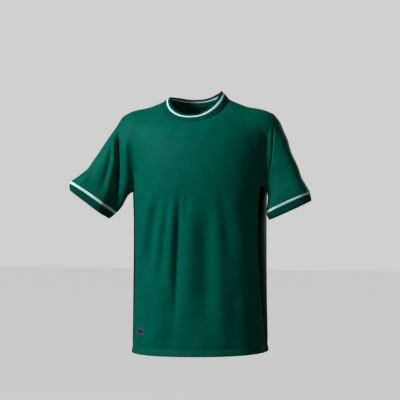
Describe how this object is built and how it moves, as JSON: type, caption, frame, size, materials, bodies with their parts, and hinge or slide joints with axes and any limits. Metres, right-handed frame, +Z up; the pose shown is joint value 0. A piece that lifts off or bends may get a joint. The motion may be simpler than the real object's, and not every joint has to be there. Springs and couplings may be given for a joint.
{
  "type": "football jersey",
  "caption": "Short-sleeved football jersey with raglan sleeves, striped crew collar and rib cuffs, hollow in its worn form.",
  "frame": {"origin": "on the shoulder line at the middle of the neck, where the wearer's shoulders carry the jersey", "axes": "+Z up, the front faces -Y, +X towards the wearer's left sleeve"},
  "size_m": [0.662, 0.2404, 0.7147],
  "materials": {
    "green_knit": "satin polyester knit",
    "green_rib": "fine rib knit",
    "navy_knit": "satin polyester knit",
    "white_knit": "fine rib knit",
    "label_weave": "woven label, plain"
  },
  "bodies": {
    "root": {"front": "green_knit", "back": "green_knit", "side_panel_left": "navy_knit", "side_panel_right": "navy_knit", "sleeve_left": "green_knit", "sleeve_right": "green_knit", "cuff_stripe_left": "white_knit", "cuff_stripe_right": "white_knit", "cuff_left": "green_rib", "cuff_right": "green_rib", "collar_rib": "green_rib", "collar_stripe": "white_knit", "collar_edge": "green_rib", "hem_label": "label_weave"}
  },
  "joints": []
}
